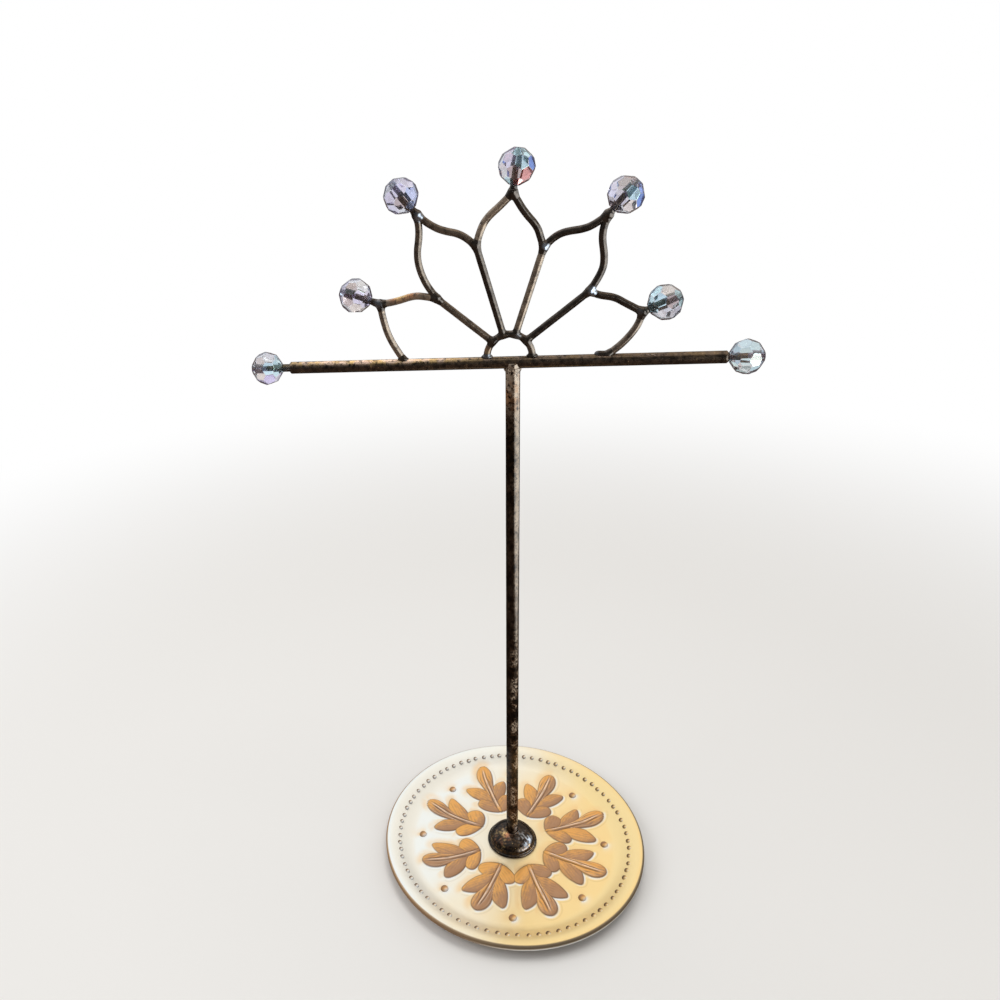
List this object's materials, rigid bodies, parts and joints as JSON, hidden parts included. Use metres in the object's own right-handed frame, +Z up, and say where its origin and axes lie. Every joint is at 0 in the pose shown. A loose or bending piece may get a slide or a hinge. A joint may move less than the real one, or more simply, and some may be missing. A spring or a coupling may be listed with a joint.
{
  "type": "jewelry stand",
  "caption": "T-bar jewelry stand: embossed round foot, slim post, crossbar with crystal ends and a fan of wire petals tipped with faceted crystals, for bracelets and earrings.",
  "frame": {"origin": "centre of the round foot's resting face, on the axis of the post", "axes": "+Z up along the post; +X along the crossbar, to the viewer's right; the front faces -Y"},
  "size_m": [0.1844, 0.1214, 0.3099],
  "materials": {
    "plate_gold": "satin polished champagne gold plate",
    "felt": "pressed felt",
    "screw_steel": "zinc plated",
    "antique_bronze": "dark antique bronze patina, rubbed through to brass in places",
    "braze": "as brazed under the patina",
    "crystal": "faceted, polished, iridescent coating"
  },
  "bodies": {
    "root": {"base_plate": "plate_gold", "base_pad": "felt", "base_screw": "screw_steel", "post_boss": "antique_bronze", "post": "antique_bronze", "crossbar": "antique_bronze", "fan_arch": "antique_bronze", "spoke_left_outer": "antique_bronze", "spoke_left_inner": "antique_bronze", "spoke_right_inner": "antique_bronze", "spoke_right_outer": "antique_bronze", "petal_left_low_upper": "antique_bronze", "petal_left_low_side": "antique_bronze", "petal_left_high_side": "antique_bronze", "petal_left_high_inner": "antique_bronze", "petal_top_left": "antique_bronze", "petal_top_right": "antique_bronze", "petal_right_high_inner": "antique_bronze", "petal_right_high_side": "antique_bronze", "petal_right_low_upper": "antique_bronze", "petal_right_low_side": "antique_bronze", "tip_pin_left_low": "antique_bronze", "tip_pin_left_high": "antique_bronze", "tip_pin_top": "antique_bronze", "tip_pin_right_high": "antique_bronze", "tip_pin_right_low": "antique_bronze", "braze_joints": "braze", "post_weld": "braze", "crystal_bar_left": "crystal", "crystal_bar_right": "crystal", "crystal_left_low": "crystal", "crystal_left_high": "crystal", "crystal_top": "crystal", "crystal_right_high": "crystal", "crystal_right_low": "crystal"}
  },
  "joints": []
}
